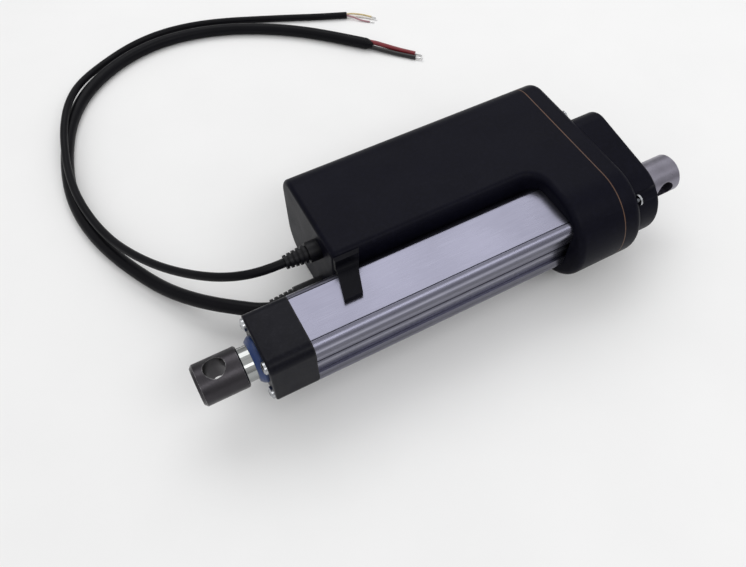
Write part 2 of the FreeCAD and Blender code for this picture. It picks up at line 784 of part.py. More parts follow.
def make_gear_train():
    wheel_teeth, screw_teeth = sizes("wheel_teeth", "screw_teeth")
    hub = size("idler_shaft_diameter").value / 2 + 2
    make_gear("motor_pinion", "first_module", "motor_teeth", "first_width", "first_station",
              MOTOR_AXIS, size("shaft_diameter").value / 2, TRAIN_ANGLE + math.pi)
    make_gear("idler_wheel", "first_module", "wheel_teeth", "first_width", "first_station",
              IDLER_AXIS, hub, TRAIN_ANGLE + math.pi / wheel_teeth.value)
    make_gear("idler_pinion", "second_module", "idler_teeth", "second_width", "second_station",
              IDLER_AXIS, hub, TRAIN_ANGLE + math.pi)
    make_gear("screw_gear", "second_module", "screw_teeth", "second_width", "second_station",
              (ZERO, ZERO), size("screw_diameter").value / 2,
              TRAIN_ANGLE + math.pi / screw_teeth.value)


def make_idler_hub():
    start = size("first_station") - 1.5
    end = size("second_station") + size("second_width")
    bore = size("idler_shaft_diameter") / 2
    owner = sleeve("idler_hub", end - start, bore + 0.05, bore + 2)
    return keep(place(owner, start, *IDLER_AXIS), "idler_hub")


def make_idler_shaft():
    start, end = size("plate_front"), size("base_rear") - 1.2
    owner = sleeve("idler_shaft", end - start, ZERO, size("idler_shaft_diameter") / 2)
    return keep(place(owner, start, *IDLER_AXIS), "idler_shaft")


BEARING_STATION, BEARING_WIDTH, BEARING_RADIUS = 222.4, 9.4, 16
INNER_RING_RADIUS, BALL_TRACK, BALL_RADIUS, BALLS = 9.2, 11, 2, 9


def make_lead_screw():
    """The threaded length, a shoulder, the seat of the bearing and the gear, and the rear journal."""
    start, end = size("screw_front"), size("base_rear") + 4
    outer, journal = size("screw_diameter") / 2, size("journal_diameter") / 2
    shoulder = BEARING_STATION - start
    gear_end = size("second_station") + size("second_width") - start
    owner = turned("lead_screw", [
        (ZERO, ZERO), (end - start, ZERO), (end - start, journal - 0.5), (end - start - 0.5, journal),
        (gear_end, journal), (gear_end, outer), (shoulder, outer), (shoulder, outer + 2),
        (shoulder - 4, outer + 2), (shoulder - 4, outer), (as_size(7), outer), (as_size(7), outer - 2),
        (ZERO, outer - 2),
    ])
    return keep(place(owner, start), "lead_screw")


def make_screw_stop():
    """The ring on the front end of the screw that the nut can't pass."""
    outer = size("screw_diameter") / 2
    owner = sleeve("screw_stop_ring", 6, outer - 2, outer + 0.4)
    return keep(place(owner, size("screw_front") + 0.5), "screw_stop_ring")


def make_screw_bearing():
    width = as_size(BEARING_WIDTH)
    inner = sleeve("bearing_inner_ring", width, size("screw_diameter") / 2, INNER_RING_RADIUS)
    keep(place(inner, BEARING_STATION), "bearing_inner_ring")
    outer = sleeve("bearing_outer_ring", width, BALL_TRACK * 2 - INNER_RING_RADIUS, BEARING_RADIUS)
    keep(place(outer, BEARING_STATION), "bearing_outer_ring")
    balls = []
    for number in range(BALLS):
        angle = 2 * math.pi * number / BALLS
        ball = doc.addObject("Part::Sphere", f"ball_{number}")
        bind(ball, "Radius", BALL_RADIUS - 0.25)
        balls.append(place(ball, BEARING_STATION + BEARING_WIDTH / 2, BALL_TRACK * math.cos(angle),
                           BALL_TRACK * math.sin(angle)))
    keep(group("bearing_balls", balls), "bearing_balls")


def make_gear_spacer():
    start = BEARING_STATION + BEARING_WIDTH
    bore = size("screw_diameter") / 2
    owner = sleeve("gear_spacer", size("second_station") - start, bore, bore + 2)
    return keep(place(owner, start), "gear_spacer")


def make_rear_bush():
    bore = size("journal_diameter") / 2
    start = size("base_rear") - size("wall")
    owner = sleeve("rear_bush", 8, bore + 0.04, bore + 3)
    return keep(place(owner, start), "rear_bush")


def make_gear_plate():
    """The plate that closes the motor space and carries the screw's bearing, idler and motor."""
    start, end = sizes("plate_front", "plate_rear")
    owner = new_body("plate_body")
    add_section(owner, ZERO, case_outline(size("wall") + 0.2), end - start)
    hub = size("tube_rear") + 0.2 - start
    sketch = new_sketch(owner, "YZ_Plane", hub)
    draw_circle(sketch, ZERO, ZERO, size("tube_width") / 2 - 0.3)
    pad(owner, sketch, end - start - hub)
    cut_circles(owner, hub - 1, [(ZERO, ZERO, as_size(BEARING_RADIUS))], end - start - hub + 2)
    motor = [(*MOTOR_AXIS, size("shaft_diameter") / 2 + 0.5)]
    bolts = [(MOTOR_AXIS[0], MOTOR_AXIS[1] + side * MOTOR_BOLT_REACH, as_size(2.1)) for side in (-1, 1)]
    idler = [(*IDLER_AXIS, size("idler_shaft_diameter") / 2)]
    fixings = [(across, up, as_size(1.8)) for across, up in PLATE_SCREWS]
    cut_circles(owner, -1, motor + bolts + idler + fixings, end - start + 2)
    return keep(place(owner, start), "gear_plate")


def make_plate_screws():
    screws = [pan_screw(f"plate_screw_{number}", size("plate_rear"), across, up,
                        PLATE_SHANK * 2, 15, 5.4, 2, -1)
              for number, (across, up) in enumerate(PLATE_SCREWS)]
    return keep(group("gear_plate_screws", screws), "gear_plate_screws")


# ---- motor ----------------------------------------------------------------------------------------

MOTOR_BOLT_REACH = 16
BELL_DEPTH = 8


def motor_piece(name, start, length, inner, outer):
    owner = sleeve(name, length, inner, outer)
    return keep(place(owner, start, *MOTOR_AXIS), name)


def make_motor():
    front, rear, wall = sizes("can_front", "can_rear", "can_wall")
    outer, shaft = size("motor_diameter") / 2, size("shaft_diameter") / 2
    motor_piece("motor_can", front, rear - front, outer - wall, outer)
    bell = sleeve("front_bell_blank", size("plate_front") - rear, shaft + 0.04, outer)
    place(bell, rear, *MOTOR_AXIS)
    holes = [cylinder(f"bell_hole_{side}", rear - 1, MOTOR_AXIS[0],
                      MOTOR_AXIS[1] + side * MOTOR_BOLT_REACH, as_size(1.6), as_size(BELL_DEPTH + 2))
             for side in (-1, 1)]
    keep(without("motor_front_bell", bell, holes), "motor_front_bell")
    motor_piece("motor_rear_bell", front - 5, as_size(5), shaft + 0.04, outer - 1)
    motor_piece("motor_shaft", front - 7, size("first_station") + size("first_width") - front + 7.8,
                ZERO, shaft)
    motor_piece("commutator", front + 8, as_size(11), shaft, as_size(9))
    bolts = [pan_screw(f"motor_bolt_{side}", size("plate_rear"), MOTOR_AXIS[0],
                       MOTOR_AXIS[1] + side * MOTOR_BOLT_REACH, 3, 12, 5.6, 2.2, -1)
             for side in (-1, 1)]
    keep(group("motor_bolts", bolts), "motor_bolts")


def make_magnets():
    """Two arc magnets inside the can."""
    front, rear, wall = sizes("can_front", "can_rear", "can_wall")
    outer, inner = size("motor_diameter") / 2 - wall, size("magnet_inner")
    length = rear - front - 34
    shells = []
    for number, middle in enumerate((90, 270)):
        blank = sleeve(f"magnet_blank_{number}", length, inner, outer)
        place(blank, front + 20, *MOTOR_AXIS)
        low = box(f"magnet_side_{number}", front + 19, MOTOR_AXIS[0] - outer.value,
                  MOTOR_AXIS[1] + (6 if middle == 90 else -outer.value - 6),
                  length + 2, outer * 2, outer)
        half = doc.addObject("Part::MultiCommon", f"magnet_{number}")
        half.Shapes = [blank, low]
        shells.append(half)
    return keep(group("motor_magnets", shells), "motor_magnets")


def make_armature():
    """Laminated core with slots round it, and the wound coils that stand out at both ends."""
    start, length, radius = sizes("core_front", "core_length", "core_radius")
    shaft = size("shaft_diameter") / 2
    owner = sleeve("core_blank", length, shaft, radius)
    place(owner, start, *MOTOR_AXIS)
    slots = []
    for number in range(10):
        angle = 2 * math.pi * number / 10
        slots.append(cylinder(
            f"core_slot_{number}", start - 1, MOTOR_AXIS[0] + 14.5 * math.cos(angle),
            MOTOR_AXIS[1] + 14.5 * math.sin(angle), as_size(3.2), length + 2))
    keep(without("armature_core", owner, slots), "armature_core")
    ends = []
    for number, station in enumerate((start - 7, start + length)):
        blank = turned(f"coil_end_{number}", [
            (ZERO, as_size(9.5)), (as_size(7), as_size(9.5)), (as_size(7), as_size(16)),
            (as_size(5.4), as_size(18)), (as_size(1.6), as_size(18)), (ZERO, as_size(16))])
        ends.append(place(blank, station, *MOTOR_AXIS))
    keep(group("armature_coils", ends), "armature_coils")


def make_brushes():
    """Two carbon brushes on the commutator, in a plastic holder ring."""
    station = size("can_front") + 10
    holder = sleeve("brush_ring", 7, 15.5, size("motor_diameter") / 2 - size("can_wall"))
    place(holder, station, *MOTOR_AXIS)
    brushes = []
    for number, side in enumerate((-1, 1)):
        low = MOTOR_AXIS[0] + (9.15 if side > 0 else -9.15 - 11)
        brushes.append(box(f"brush_{number}", station + 1, low, MOTOR_AXIS[1] - 2.5, 5, 11, 5))
    ring = without("brush_holder", holder, [box(
        "brush_slot", station + 1, MOTOR_AXIS[0] - 20.15, MOTOR_AXIS[1] - 2.5, 5, 40.3, 5)])
    keep(ring, "brush_holder")
    keep(group("brushes", brushes), "brushes")


def make_sensor():
    """A magnet ring on the screw's spacer and the sensor board that reads it."""
    start = size("plate_rear") + 4.5
    ring = sleeve("sensor_magnet_ring", 5, size("screw_diameter") / 2 + 2, 12)
    keep(place(ring, start), "sensor_magnet_ring")
    board = box("board_blank", start, -12, -26.5, as_size(1.6), as_size(24), as_size(12))
    chip = box("board_chip", start + 1.6, -3, -17.5, as_size(1.4), as_size(6), as_size(3))
    keep(fuse("position_board", [board, chip]), "position_board")


# ---- cables ---------------------------------------------------------------------------------------

# Each route is a list of points chosen by hand, from the tip of the strain relief to the end of the
# jacket. The cables come down to the surface that the actuator lies on, and the thin one climbs over
# the thick one once.
POWER_ROUTE = [
    (-250, 40, -24), (-257, 42, -23.2), (-268, 50, -23), (-279.5, 60, -24.5), (-291.5, 74, -28.5),
    (-304, 92.5, -33), (-315.5, 114.5, -34.5), (-326.5, 139.5, -34.5), (-333.5, 166, -34.5),
    (-336, 192, -34.5), (-333.5, 218, -34.5), (-327.5, 244, -34.5), (-318, 270, -34.5),
    (-302, 295, -34.5), (-279, 314, -34.5), (-253.5, 326, -34.5), (-226, 331, -34.5),
    (-197, 328, -34.5), (-169, 319, -34.5), (-143, 305, -34.5), (-119, 288, -34.5),
    (-97, 267.5, -34.5), (-77.5, 247, -34.5),
]
SIGNAL_ROUTE = [
    (-237, 42, 13.5), (-248, 42, 13.5), (-262, 47.5, 10), (-275, 58.5, 3.5), (-288.5, 75, -4.5),
    (-301, 94, -12.5), (-312.5, 116, -19.5), (-322, 139, -25), (-328.5, 163, -26.6),
    (-332, 188, -26.6), (-331.5, 213.5, -26.6), (-328, 238, -26.6), (-322.5, 261, -26.2),
    (-313.5, 284, -26.2), (-299.5, 308.5, -31), (-275, 330, -36.3), (-249, 341, -36.3),
    (-222.5, 345, -36.3), (-195.5, 342, -36.3), (-169.5, 334, -36.3), (-144.5, 323, -36.3),
    (-119, 311.5, -36.3), (-95, 300, -36.3), (-73.5, 291, -36.3),
]
RED_WIRE = [(-76.5, 247.8, -33.1), (-71, 242.2, -33.1), (-57, 229.5, -36.2), (-46.5, 219.5, -37.2)]
BLACK_WIRE = [(-78.2, 246.1, -35.8), (-72.7, 240.2, -36.2), (-59, 225.5, -37.1), (-48.5, 215, -37.2)]
YELLOW_WIRE = [(-73, 291.7, -35.8), (-68.5, 290.3, -36), (-61, 286.8, -37.2), (-54.5, 281, -38.1)]
WHITE_WIRE = [(-73.4, 290.9, -37.3), (-68.5, 289, -37.6), (-61, 284.5, -38.1), (-55, 278, -38.2)]
PINK_WIRE = [(-73.7, 290.1, -35.8), (-70, 287, -36.5), (-65, 280.8, -37.9), (-59, 275.6, -38.2)]


def rounded_path(route):
    """Straight runs joined by tangent arcs, each as large as its two runs allow."""
    corners = [V(*point) for point in route]
    edges, radii = [], []
    last = corners[0]
    for before, corner, after in zip(corners, corners[1:], corners[2:]):
        back, ahead = before - corner, after - corner
        shorter = min(back.Length, ahead.Length)
        back.normalize()
        ahead.normalize()
        turn = math.pi - back.getAngle(ahead)
        setback = 0.45 * shorter
        radii.append(setback / math.tan(turn / 2))
        enter, leave = corner + back * setback, corner + ahead * setback
        inward = back + ahead
        inward.normalize()
        to_centre = radii[-1] / math.cos(turn / 2)
        middle = corner + inward * (to_centre - radii[-1])
        edges.append(Part.LineSegment(last, enter).toShape())
        edges.append(Part.Arc(enter, middle, leave).toShape())
        last = leave
    edges.append(Part.LineSegment(last, corners[-1]).toShape())
    return Part.Wire(edges), radii


def make_cord(name, route, diameter):
    """A round cord along a route, with its volume compared with its section times its length."""
    path, radii = rounded_path(route)
    radius = as_size(diameter).value / 2
    start = V(*route[0])
    section = Part.Wire(Part.makeCircle(radius, start, V(*route[1]) - start))
    solid = path.makePipeShell([section], True, False)
    expected = math.pi * radius ** 2 * path.Length
    if abs(solid.Volume / expected - 1) > 0.01:
        raise ValueError(f"{name}: volume {solid.Volume:.0f}, expected {expected:.0f}")
    print(f"{name}: length {path.Length:.1f} mm, smallest radius {min(radii):.1f} mm")
    item = doc.addObject("Part::Feature", name)
    item.Shape = solid
    return keep(item, name)


def make_wire_tip(name, route, diameter, length):
    """The bare tinned end of a wire, in line with its last run."""
    end, before = V(*route[-1]), V(*route[-2])
    ahead = (end - before).normalize()
    item = doc.addObject("Part::Feature", name)
    item.Shape = Part.makeCylinder(diameter / 2, length, end, ahead)
    return item


def make_cables():
    make_cord("power_cable", POWER_ROUTE, size("power_diameter"))
    make_cord("signal_cable", SIGNAL_ROUTE, size("signal_diameter"))
    wires = [
        ("power_wire_red", RED_WIRE, 3.6, 1.6, 6), ("power_wire_black", BLACK_WIRE, 3.6, 1.6, 6),
        ("signal_wire_yellow", YELLOW_WIRE, 1.4, 0.8, 4), ("signal_wire_white", WHITE_WIRE, 1.4, 0.8, 4),
        ("signal_wire_pink", PINK_WIRE, 1.4, 0.8, 4),
    ]
    tips = []
    for name, route, diameter, bare, length in wires:
        make_cord(name, route, diameter)
        tips.append(make_wire_tip(name + "_tip", route, bare, length))
    keep(group("wire_tips", tips), "wire_tips")


# ---- the whole ------------------------------------------------------------------------------------

make_outer_tube()
make_front_cap()
make_cap_gasket()
make_cap_screws()
make_wiper_seal()
make_rod_bush()
make_rod_eye()
make_piston_rod()
make_drive_nut()
make_nut_key()
make_guide_ring()
make_gear_housing()
make_gasket()
make_rear_cover()
make_cover_screws()
make_rear_eye()
make_cover_clip()
make_gland("signal_gland", size("signal_gland_across"), size("signal_gland_up"),
           size("signal_gland_length"), size("signal_diameter"), 6.2, 7, SIGNAL_GLAND_HOLE)
make_gland("power_gland", size("power_gland_across"), -size("power_gland_down"),
           size("power_gland_length"), size("power_diameter"), 7.6, 18, POWER_GLAND_HOLE)
make_gear_train()
make_idler_hub()
make_idler_shaft()
make_lead_screw()
make_screw_stop()
make_screw_bearing()
make_gear_spacer()
make_rear_bush()
make_gear_plate()
make_plate_screws()
make_motor()
make_magnets()
make_armature()
make_brushes()
make_sensor()
make_cables()

doc.recompute()
for item in doc.Objects:
    if "Invalid" in item.State or "Error" in item.State:
        raise RuntimeError(f"{item.Label} failed: {item.State}")
for piece in pieces:
    if piece.Shape.isNull() or not piece.Shape.isValid():
        raise RuntimeError(f"{piece.Label} has no valid shape")
for piece in pieces:
    piece.Shape.exportStep(f"parts/{piece.Label}.step")
print(len(pieces), "pieces written")
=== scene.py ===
import math

import bmesh
import bpy
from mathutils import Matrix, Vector


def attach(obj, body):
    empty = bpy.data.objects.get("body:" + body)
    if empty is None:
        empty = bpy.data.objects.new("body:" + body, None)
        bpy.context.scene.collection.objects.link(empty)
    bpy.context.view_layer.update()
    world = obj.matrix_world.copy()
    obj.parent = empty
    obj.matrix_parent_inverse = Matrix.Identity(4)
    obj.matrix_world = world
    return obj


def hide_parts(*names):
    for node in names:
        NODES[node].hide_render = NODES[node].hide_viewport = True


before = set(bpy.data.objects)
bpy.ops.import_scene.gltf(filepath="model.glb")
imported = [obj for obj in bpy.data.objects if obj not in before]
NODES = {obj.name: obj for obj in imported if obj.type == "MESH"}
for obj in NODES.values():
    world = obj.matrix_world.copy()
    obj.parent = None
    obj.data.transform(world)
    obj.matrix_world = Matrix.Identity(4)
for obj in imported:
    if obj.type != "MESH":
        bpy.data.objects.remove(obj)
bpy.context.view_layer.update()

MM = 0.001
FLOOR = -39 * MM
FLOOR_HALF_SIZE = 12.0
scene = bpy.context.scene


# ---- camera ---------------------------------------------------------------------------------------

def make_camera():
    data = bpy.data.cameras.new("camera")
    data.sensor_width = 36
    data.lens = 33.3
    data.clip_start, data.clip_end = 0.01, 20
    camera = bpy.data.objects.new("camera", data)
    camera.location = (-0.2972, -0.1817, 0.3327)
    camera.rotation_euler = [math.radians(angle) for angle in (33.5, 0.38, -28.09)]
    scene.collection.objects.link(camera)
    scene.camera = camera


make_camera()


# ---- shader helpers -------------------------------------------------------------------------------

MIX_FACTOR, MIX_FIRST, MIX_SECOND = 0, 6, 7   # the Mix node's sockets when it mixes colours
NOISE_LOW, NOISE_HIGH = 0.3, 0.7              # the span that most noise values fall in
RING_SCALE = 1000 / 6.28                      # the Wave node's scale for rings of unit size


class Shader:
    """A Principled material whose maps are worked out from the object's own coordinates."""

    def __init__(self, name, color, rough, metallic=0.0, size=12, vary=0.12, smudge=0.1):
        self.material = bpy.data.materials.new(name)
        self.material.use_nodes = True
        self.nodes = self.material.node_tree.nodes
        self.links = self.material.node_tree.links
        self.surface = self.nodes["Principled BSDF"]
        self.surface.inputs["Metallic"].default_value = metallic
        self.place = self.nodes.new("ShaderNodeTexCoord").outputs["Object"]
        dark = tuple(part * (1 - vary) for part in color)
        light = tuple(min(part * (1 + vary), 1) for part in color)
        self.color = self.blend(self.ramp(self.noise(size), NOISE_LOW, NOISE_HIGH), dark, light)
        self.rough = self.ramp(self.noise(size * 0.6), NOISE_LOW, NOISE_HIGH,
                               rough - smudge / 2, rough + smudge / 2)
        self.height = None

    def noise(self, size, stretch=(1, 1, 1), detail=4.0):
        """Noise whose features are about `size` millimetres across."""
        place = self.nodes.new("ShaderNodeMapping")
        place.inputs["Scale"].default_value = stretch
        self.links.new(self.place, place.inputs["Vector"])
        node = self.nodes.new("ShaderNodeTexNoise")
        node.inputs["Scale"].default_value = 1000.0 / size
        node.inputs["Detail"].default_value = detail
        self.links.new(place.outputs[0], node.inputs["Vector"])
        return node.outputs["Fac"]

    def ramp(self, source, low, high, to_low=0.0, to_high=1.0):
        """Map low..high to to_low..to_high."""
        node = self.nodes.new("ShaderNodeMapRange")
        numbers = {"From Min": low, "From Max": high, "To Min": to_low, "To Max": to_high}
        for socket, number in numbers.items():
            node.inputs[socket].default_value = number
        self.links.new(source, node.inputs["Value"])
        return node.outputs[0]

    def calc(self, kind, first, second):
        node = self.nodes.new("ShaderNodeMath")
        node.operation = kind
        for socket, part in zip(node.inputs, (first, second)):
            if isinstance(part, (int, float)):
                socket.default_value = part
            else:
                self.links.new(part, socket)
        return node.outputs[0]

    def blend(self, factor, first, second):
        node = self.nodes.new("ShaderNodeMix")
        node.data_type = "RGBA"
        self.links.new(factor, node.inputs[MIX_FACTOR])
        for socket, part in ((MIX_FIRST, first), (MIX_SECOND, second)):
            if isinstance(part, tuple):
                node.inputs[socket].default_value = (*part, 1)
            else:
                self.links.new(part, node.inputs[socket])
        return node.outputs[2]

    def grain(self, size, low, high, color, stretch=(1, 1, 1)):
        """Let a second colour show where noise of this size runs high."""
        self.color = self.blend(self.ramp(self.noise(size, stretch), low, high), self.color, color)
        return self

    def smudge(self, size, amount, stretch=(1, 1, 1)):
        """Rougher and smoother patches."""
        patches = self.ramp(self.noise(size, stretch), NOISE_LOW, NOISE_HIGH, -amount / 2, amount / 2)
        self.rough = self.calc("ADD", self.rough, patches)
        return self

    def painted_reflection_bands(self, dark, light):
        """Painted reflections and shade: light and dark bands along an extrusion's upright sides."""
        upright = self.nodes.new("ShaderNodeSeparateXYZ")
        self.links.new(self.nodes.new("ShaderNodeTexCoord").outputs["Normal"], upright.inputs[0])
        side = self.ramp(self.calc("ABSOLUTE", upright.outputs["Z"], 0), 0.75, 0.35)
        bands = self.noise(4.5, (0.004, 0.1, 1), 1.5)
        low = self.calc("MULTIPLY", side, self.ramp(bands, 0.5, 0.3))
        high = self.calc("MULTIPLY", side, self.ramp(bands, 0.52, 0.68))
        self.color = self.blend(high, self.blend(low, self.color, dark), light)
        return self

    def raise_by(self, part):
        """Add a height in metres to the bump."""
        self.height = part if self.height is None else self.calc("ADD", self.height, part)
        return self

    def bump(self, size, depth, stretch=(1, 1, 1), detail=3.0):
        """Raise and lower the surface by about `depth` millimetres."""
        return self.raise_by(self.calc("MULTIPLY", self.noise(size, stretch, detail), depth * MM))

    def turned(self, size, depth):
        """Fine machining rings on a part turned about an axis along X."""
        node = self.nodes.new("ShaderNodeTexWave")
        node.bands_direction = "X"
        node.inputs["Scale"].default_value = RING_SCALE / size
        node.inputs["Distortion"].default_value = 1.2
        self.links.new(self.place, node.inputs["Vector"])
        return self.raise_by(self.calc("MULTIPLY", node.outputs["Fac"], depth * MM))

    def painted_groove_shade(self, color):
        """Painted shade: darken grooves about a millimetre wide."""
        node = self.nodes.new("ShaderNodeAmbientOcclusion")
        node.samples = 6
        node.only_local = True
        node.inputs["Distance"].default_value = 1.2 * MM
        self.color = self.blend(self.ramp(node.outputs["AO"], 0.8, 0.35), self.color, color)
        return self

    def worn_and_highlit_edges(self, color, amount=0.5, radius=0.5):
        """Lighten the edges, broken up by noise: partly wear, partly a painted highlight along the edges.
        The radius is in millimetres.
        """
        rounded = self.nodes.new("ShaderNodeBevel")
        rounded.samples = 4
        rounded.inputs["Radius"].default_value = radius * MM
        agree = self.nodes.new("ShaderNodeVectorMath")
        agree.operation = "DOT_PRODUCT"
        self.links.new(rounded.outputs[0], agree.inputs[0])
        self.links.new(self.nodes.new("ShaderNodeNewGeometry").outputs["Normal"], agree.inputs[1])
        edge = self.ramp(agree.outputs["Value"], 0.995, 0.9)
        broken = self.ramp(self.noise(1.8), 0.4, 0.6, 0.25 * amount, amount)
        self.color = self.blend(self.calc("MULTIPLY", edge, broken), self.color, color)
        return self

    def done(self, **sockets):
        """Connect the maps, set plain numbers on the shader's own sockets, and give the material."""
        self.links.new(self.color, self.surface.inputs["Base Color"])
        self.links.new(self.rough, self.surface.inputs["Roughness"])
        if self.height is not None:
            node = self.nodes.new("ShaderNodeBump")
            node.inputs["Distance"].default_value = 1.0
            self.links.new(self.height, node.inputs["Height"])
            self.links.new(node.outputs[0], self.surface.inputs["Normal"])
        for name, number in sockets.items():
            self.surface.inputs[name.replace("_", " ")].default_value = number
        return self.material


def dress(names, material):
    """Give the CAD nodes of these names the material."""
    for name in names.split():
        for slot in NODES[name].material_slots:
            slot.material = material


# ---- materials ------------------------------------------------------------------------------------

LENGTHWISE = (0.02, 1, 1)


def black_plastic(name, color=(0.0036, 0.0036, 0.0078), rough=0.42):
    return (Shader(name, color, rough, size=30, smudge=0.07)
            .grain(2.5, 0.45, 0.75, tuple(part * 1.35 for part in color)).smudge(1.2, 0.05)
            .bump(0.5, 0.02, detail=2).bump(2.2, 0.008).worn_and_highlit_edges((0.018, 0.018, 0.025), 0.3)
            .done(Specular_IOR_Level=0.05))


def black_paint(name):
    return (Shader(name, (0.0034, 0.0034, 0.0068), 0.36, size=14, vary=0.16)
            .grain(1.5, 0.5, 0.8, (0.008, 0.008, 0.013)).smudge(1, 0.06)
            .bump(0.8, 0.012).bump(4, 0.01).worn_and_highlit_edges((0.07, 0.07, 0.08), 0.35, 0.35)
            .done(Specular_IOR_Level=0.1))


def anodised(name):
    return (Shader(name, (0.18, 0.179, 0.23), 0.28, 1.0, 50, 0.05, 0.06)
            # painted reflections and shade: light and dark bands on the tube's upright sides
            .painted_reflection_bands((0.1, 0.1, 0.125), (0.45, 0.45, 0.53))
            .grain(0.4, 0.5, 0.75, (0.205, 0.205, 0.26), LENGTHWISE).smudge(0.35, 0.04, LENGTHWISE)
            # the last call below paints shade into the tube's grooves
            .bump(0.3, 0.0004, LENGTHWISE).painted_groove_shade((0.02, 0.02, 0.027))
            .done())


def steel(name, color, rough):
    return (Shader(name, color, rough, 1.0, 9, 0.1, 0.12)
            .grain(0.8, 0.5, 0.8, tuple(part * 0.75 for part in color), (3, 0.5, 0.5))
            .turned(0.25, 0.004).bump(0.6, 0.002).worn_and_highlit_edges((0.7, 0.7, 0.7), 0.6, 0.35)
            .done())


def zinc(name):
    return (Shader(name, (0.42, 0.43, 0.45), 0.24, 1.0, 2, 0.12, 0.14)
            .bump(0.5, 0.003).worn_and_highlit_edges((0.85, 0.85, 0.86), 0.5, 0.2)
            .done())


def chrome(name):
    return (Shader(name, (0.36, 0.37, 0.365), 0.1, 1.0, 14, 0.05, 0.04)
            .grain(0.7, 0.5, 0.75, (0.3, 0.31, 0.305), (0.05, 1, 1))
            .smudge(0.6, 0.03, (8, 0.3, 0.3)).bump(0.35, 0.0005, (6, 0.3, 0.3))
            .done())


def rubber(name, color=(0.0045, 0.0045, 0.0065)):
    return (Shader(name, color, 0.46, size=8, vary=0.2, smudge=0.14)
            .bump(0.6, 0.008).bump(5, 0.01).worn_and_highlit_edges((0.03, 0.03, 0.03), 0.4, 0.3)
            .done(Specular_IOR_Level=0.2))


def bronze(name, color=(0.58, 0.36, 0.16), rough=0.36):
    return (Shader(name, color, rough, 1.0, 8, 0.14, 0.16)
            .turned(0.3, 0.003).bump(0.5, 0.003).worn_and_highlit_edges((0.8, 0.6, 0.35), 0.5)
            .done())


def plastic(name, color, rough=0.45):
    return (Shader(name, color, rough, size=9)
            .bump(0.6, 0.006).worn_and_highlit_edges(tuple(min(part * 1.5 + 0.03, 1) for part in color), 0.4)
            .done())


def wire_skin(name, color):
    return (Shader(name, color, 0.34, size=4, vary=0.16)
            .grain(1.2, 0.55, 0.8, tuple(part * 0.7 for part in color)).bump(0.5, 0.006)
            .done())


# ---- cords ----------------------------------------------------------------------------------------

# Routes are in millimetres, and each is the control points of the cord's spline.
POWER_ROUTE = [
    (-250, 40, -24), (-257, 42, -23.2), (-268, 50, -23), (-279.5, 60, -24.5), (-291.5, 74, -28.5),
    (-304, 92.5, -33), (-315.5, 114.5, -34.5), (-326.5, 139.5, -34.5), (-333.5, 166, -34.5),
    (-336, 192, -34.5), (-333.5, 218, -34.5), (-327.5, 244, -34.5), (-318, 270, -34.5),
    (-302, 295, -34.5), (-279, 314, -34.5), (-253.5, 326, -34.5), (-226, 331, -34.5),
    (-197, 328, -34.5), (-169, 319, -34.5), (-143, 305, -34.5), (-119, 288, -34.5),
    (-97, 267.5, -34.5), (-77.5, 247, -34.5),
]
SIGNAL_ROUTE = [
    (-237, 42, 13.5), (-248, 42, 13.5), (-262, 47.5, 10), (-275, 58.5, 3.5), (-288.5, 75, -4.5),
    (-301, 94, -12.5), (-312.5, 116, -19.5), (-322, 139, -25), (-328.5, 163, -26.6),
    (-332, 188, -26.6), (-331.5, 213.5, -26.6), (-328, 238, -26.6), (-322.5, 261, -26.2),
    (-313.5, 284, -26.2), (-299.5, 308.5, -31), (-275, 330, -36.3), (-249, 341, -36.3),
    (-222.5, 345, -36.3), (-195.5, 342, -36.3), (-169.5, 334, -36.3), (-144.5, 323, -36.3),
    (-119, 311.5, -36.3), (-95, 300, -36.3), (-73.5, 291, -36.3),
]
# The thick cable's crumpled jacket end: how far past the cord's end, and the radius there, in millimetres.
JACKET_END = [(-3, 4.1), (-0.6, 4.42), (0.8, 4.3), (2.2, 3.9), (3.8, 3.4), (5.2, 3.0), (6, 2.75), (6.1, 2.3)]
JACKET_SIDES, JACKET_FOLDS, FOLD_DEPTH = 24, 5, 0.012


def make_cord(name, route, diameter, node, material):
    """A cord along a smooth spline, which stands for its CAD node."""
    data = bpy.data.curves.new(name, "CURVE")
    data.dimensions = "3D"
    data.resolution_u = 12
    data.bevel_resolution = 7
    data.bevel_depth = diameter / 2
    data.use_fill_caps = True
    spline = data.splines.new("NURBS")
    spline.points.add(len(route) - 1)
    for point, place in zip(spline.points, route):
        point.co = (*[part * MM for part in place], 1)
    spline.order_u = 3
    spline.use_endpoint_u = True
    piece = bpy.data.objects.new(name, data)
    scene.collection.objects.link(piece)
    data.materials.append(material)
    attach(piece, "housing")
    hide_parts(node)
    return piece


jacket = (Shader("jacket", (0.004, 0.0039, 0.0055), 0.4, size=16, vary=0.18, smudge=0.12)
          .smudge(1.5, 0.06).bump(0.8, 0.01).bump(7, 0.03)
          .done(Specular_IOR_Level=0.09))
power = make_cord("power_cord", POWER_ROUTE, 9 * MM, "power_cable", jacket)
signal = make_cord("signal_cord", SIGNAL_ROUTE, 5.4 * MM, "signal_cable", jacket)


